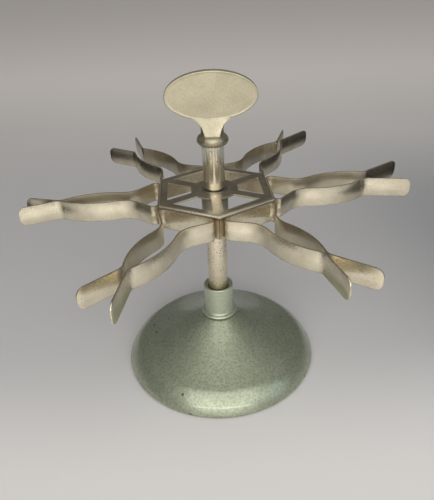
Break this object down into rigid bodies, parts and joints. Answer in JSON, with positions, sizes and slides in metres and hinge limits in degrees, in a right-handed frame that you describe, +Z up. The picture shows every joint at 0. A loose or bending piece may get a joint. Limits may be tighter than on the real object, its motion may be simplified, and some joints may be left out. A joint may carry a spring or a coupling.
{
  "type": "order wheel",
  "caption": "Counter-top order wheel: spring clips for paper slips on a hexagonal hub that turns on a shaft, over a weighted round base, under an oval handle.",
  "frame": {"origin": "middle of the felt pad's underside, on the counter and on the shaft's axis", "axes": "+Z up along the shaft; +X along the handle's oval plate; -Y is the side shown in the picture"},
  "size_m": [0.2538, 0.2426, 0.2097],
  "materials": {
    "hammertone_paint": "grey-green hammertone enamel, satin, chipped",
    "grey_iron": "as cast",
    "felt": "dense green felt",
    "plain_steel": "zinc plated",
    "brass": "turned",
    "bright_nickel": "nickel plate, worn bright, small brown pits",
    "aged_nickel": "nickel plate, dulled, with brown age spots"
  },
  "bodies": {
    "stand": {"felt_pad": "felt", "base_shell": "hammertone_paint", "base_weight": "grey_iron", "shaft_nut": "plain_steel", "lock_washer": "plain_steel", "collar": "hammertone_paint", "shaft": "bright_nickel", "thrust_washer": "brass", "handle": "bright_nickel"},
    "wheel": {"hub_plate": "aged_nickel", "hub_boss": "bright_nickel", "clip_1_base": "aged_nickel", "clip_2_base": "aged_nickel", "clip_3_base": "aged_nickel", "clip_4_base": "aged_nickel", "clip_5_base": "aged_nickel", "clip_6_base": "aged_nickel"},
    "clip_1_left": {"clip_1_jaw_left": "aged_nickel"},
    "clip_1_right": {"clip_1_jaw_right": "aged_nickel"},
    "clip_2_left": {"clip_2_jaw_left": "aged_nickel"},
    "clip_2_right": {"clip_2_jaw_right": "aged_nickel"},
    "clip_3_left": {"clip_3_jaw_left": "aged_nickel"},
    "clip_3_right": {"clip_3_jaw_right": "aged_nickel"},
    "clip_4_left": {"clip_4_jaw_left": "aged_nickel"},
    "clip_4_right": {"clip_4_jaw_right": "aged_nickel"},
    "clip_5_left": {"clip_5_jaw_left": "aged_nickel"},
    "clip_5_right": {"clip_5_jaw_right": "aged_nickel"},
    "clip_6_left": {"clip_6_jaw_left": "aged_nickel"},
    "clip_6_right": {"clip_6_jaw_right": "aged_nickel"}
  },
  "joints": [
    {"name": "wheel_spin", "type": "hinge", "parent": "stand", "child": "wheel", "pos_m": [0, 0, 0.12], "axis": [0, 0, 1], "continuous": true},
    {"name": "clip_1_left_spring", "type": "hinge", "parent": "wheel", "child": "clip_1_left", "pos_m": [-0.00164, -0.04267, 0.12865], "axis": [0, 0, 1], "range_deg": [0, 6], "stiffness_Nm_per_rad": 4},
    {"name": "clip_1_right_spring", "type": "hinge", "parent": "wheel", "child": "clip_1_right", "pos_m": [-0.03368, -0.02625, 0.12865], "axis": [0, 0, -1], "range_deg": [0, 6], "stiffness_Nm_per_rad": 4},
    {"name": "clip_2_left_spring", "type": "hinge", "parent": "wheel", "child": "clip_2_left", "pos_m": [-0.03777, -0.01991, 0.12865], "axis": [0, 0, 1], "range_deg": [0, 6], "stiffness_Nm_per_rad": 4},
    {"name": "clip_2_right_spring", "type": "hinge", "parent": "wheel", "child": "clip_2_right", "pos_m": [-0.03957, 0.01605, 0.12865], "axis": [0, 0, -1], "range_deg": [0, 6], "stiffness_Nm_per_rad": 4},
    {"name": "clip_3_left_spring", "type": "hinge", "parent": "wheel", "child": "clip_3_left", "pos_m": [-0.03613, 0.02276, 0.12865], "axis": [0, 0, 1], "range_deg": [0, 6], "stiffness_Nm_per_rad": 4},
    {"name": "clip_3_right_spring", "type": "hinge", "parent": "wheel", "child": "clip_3_right", "pos_m": [-0.00589, 0.04229, 0.12865], "axis": [0, 0, -1], "range_deg": [0, 6], "stiffness_Nm_per_rad": 4},
    {"name": "clip_4_left_spring", "type": "hinge", "parent": "wheel", "child": "clip_4_left", "pos_m": [0.00164, 0.04267, 0.12865], "axis": [0, 0, 1], "range_deg": [0, 6], "stiffness_Nm_per_rad": 4},
    {"name": "clip_4_right_spring", "type": "hinge", "parent": "wheel", "child": "clip_4_right", "pos_m": [0.03368, 0.02625, 0.12865], "axis": [0, 0, -1], "range_deg": [0, 6], "stiffness_Nm_per_rad": 4},
    {"name": "clip_5_left_spring", "type": "hinge", "parent": "wheel", "child": "clip_5_left", "pos_m": [0.03777, 0.01991, 0.12865], "axis": [0, 0, 1], "range_deg": [0, 6], "stiffness_Nm_per_rad": 4},
    {"name": "clip_5_right_spring", "type": "hinge", "parent": "wheel", "child": "clip_5_right", "pos_m": [0.03957, -0.01605, 0.12865], "axis": [0, 0, -1], "range_deg": [0, 6], "stiffness_Nm_per_rad": 4},
    {"name": "clip_6_left_spring", "type": "hinge", "parent": "wheel", "child": "clip_6_left", "pos_m": [0.03613, -0.02276, 0.12865], "axis": [0, 0, 1], "range_deg": [0, 6], "stiffness_Nm_per_rad": 4},
    {"name": "clip_6_right_spring", "type": "hinge", "parent": "wheel", "child": "clip_6_right", "pos_m": [0.00589, -0.04229, 0.12865], "axis": [0, 0, -1], "range_deg": [0, 6], "stiffness_Nm_per_rad": 4}
  ]
}
